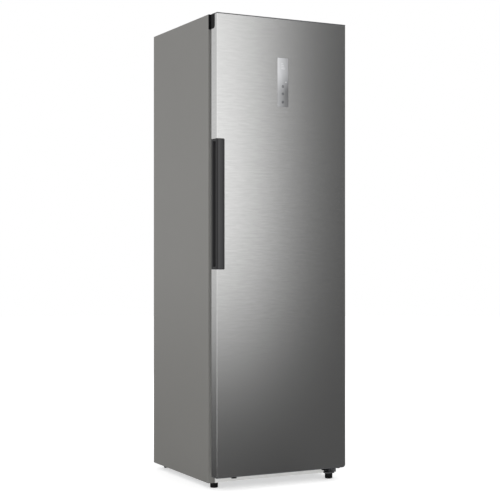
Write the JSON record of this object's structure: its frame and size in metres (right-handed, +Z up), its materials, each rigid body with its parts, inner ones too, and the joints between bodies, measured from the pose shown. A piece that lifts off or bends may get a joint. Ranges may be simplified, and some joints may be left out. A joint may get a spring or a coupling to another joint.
{
  "type": "single door refrigerator",
  "caption": "Free-standing single door refrigerator with a steel door, recessed edge grip, glass shelves, drawers and door bins.",
  "frame": {"origin": "on the floor, under the middle of the box that holds the cabinet and the closed door", "axes": "+Z up, -Y the way the door faces, +X towards the hinge side"},
  "size_m": [0.595, 0.645, 1.905],
  "materials": {
    "cabinet_paint": "smooth satin grey",
    "door_steel": "brushed upright",
    "zinc_sheet": "galvanised",
    "foam": "rigid foam",
    "white_liner": "satin white",
    "clear_plastic": "clear",
    "shelf_glass": "clear",
    "shelf_trim": "satin",
    "black_plastic": "fine grain",
    "handle_plastic": "satin dark",
    "plinth_plastic": "satin pale",
    "seal_rubber": "matte",
    "hinge_steel": "satin dark",
    "screw_steel": "zinc",
    "compressor_paint": "gloss black",
    "mount_rubber": "matte",
    "copper": "bare copper",
    "fin_aluminium": "mill",
    "motor": "plain",
    "lamp_lens": "milky",
    "display_lens": "silver film under clear"
  },
  "bodies": {
    "cabinet": {"back_panel": "zinc_sheet", "base_pan": "zinc_sheet", "bottle_rack": "shelf_trim", "cabinet_foam": "foam", "cabinet_shell": "cabinet_paint", "compressor": "compressor_paint", "compressor_mounts": "mount_rubber", "compressor_plate": "zinc_sheet", "condenser_pipe": "copper", "control_box": "black_plastic", "crisper_glass": "shelf_glass", "crisper_trims": "shelf_trim", "duct_cover": "white_liner", "evaporation_tray": "black_plastic", "evaporator": "fin_aluminium", "fan_motor": "motor", "fan_shroud": "white_liner", "filter_drier": "copper", "flange_blank": "black_plastic", "front_plinth": "plinth_plastic", "hinge_screws": "screw_steel", "inner_liner": "white_liner", "light_lens": "lamp_lens", "lower_hinge": "hinge_steel", "mains_inlet": "black_plastic", "refrigerant_pipes": "copper", "relay_box": "black_plastic", "shelf_glass_1": "shelf_glass", "shelf_glass_2": "shelf_glass", "shelf_glass_3": "shelf_glass", "shelf_glass_4": "shelf_glass", "shelf_trims_1": "shelf_trim", "shelf_trims_2": "shelf_trim", "shelf_trims_3": "shelf_trim", "shelf_trims_4": "shelf_trim", "upper_hinge": "hinge_steel"},
    "door": {"door_skin": "door_steel", "door_foam": "foam", "door_liner": "white_liner", "door_gasket": "seal_rubber", "door_top_cap": "black_plastic", "door_bottom_cap": "black_plastic", "handle_profile": "handle_plastic", "display_lens": "display_lens", "display_module": "black_plastic", "corner_filler": "black_plastic", "door_stops": "black_plastic", "hinge_bushes": "black_plastic", "door_bin_1": "clear_plastic", "door_bin_2": "clear_plastic", "door_bin_3": "clear_plastic", "door_bin_4": "clear_plastic", "door_bin_5": "clear_plastic"},
    "fan": {"fan_blades": "motor"},
    "left_roller": {"rear_roller_left": "black_plastic"},
    "right_roller": {"rear_roller_right": "black_plastic"},
    "left_foot": {"front_foot_left": "black_plastic"},
    "right_foot": {"front_foot_right": "black_plastic"},
    "low_drawer": {"lower_drawer": "clear_plastic"},
    "high_drawer": {"upper_drawer": "clear_plastic"}
  },
  "joints": [
    {"name": "door_hinge", "type": "hinge", "parent": "cabinet", "child": "door", "pos_m": [0.2825, -0.2875, 0.97], "axis": [0, 0, 1], "range_deg": [0, 120]},
    {"name": "low_drawer_slide", "type": "slide", "parent": "cabinet", "child": "low_drawer", "axis": [0, -1, 0], "range_m": [0, 0.15]},
    {"name": "high_drawer_slide", "type": "slide", "parent": "cabinet", "child": "high_drawer", "axis": [0, -1, 0], "range_m": [0, 0.2]},
    {"name": "left_foot_thread", "type": "slide", "parent": "cabinet", "child": "left_foot", "axis": [0, 0, 1], "range_m": [-0.015, 0]},
    {"name": "right_foot_thread", "type": "slide", "parent": "cabinet", "child": "right_foot", "axis": [0, 0, 1], "range_m": [-0.015, 0]},
    {"name": "left_roller_spin", "type": "hinge", "parent": "cabinet", "child": "left_roller", "pos_m": [-0.25, 0.2905, 0.015], "axis": [1, 0, 0], "continuous": true},
    {"name": "right_roller_spin", "type": "hinge", "parent": "cabinet", "child": "right_roller", "pos_m": [0.25, 0.2905, 0.015], "axis": [1, 0, 0], "continuous": true},
    {"name": "fan_spin", "type": "hinge", "parent": "cabinet", "child": "fan", "pos_m": [0, 0.232, 0.53], "axis": [0, 1, 0], "continuous": true}
  ],
  "couplings": [
    {"joint": "low_drawer_slide", "follows": "door_hinge", "m_per_rad": 0.07},
    {"joint": "high_drawer_slide", "follows": "door_hinge", "m_per_rad": 0.095}
  ]
}
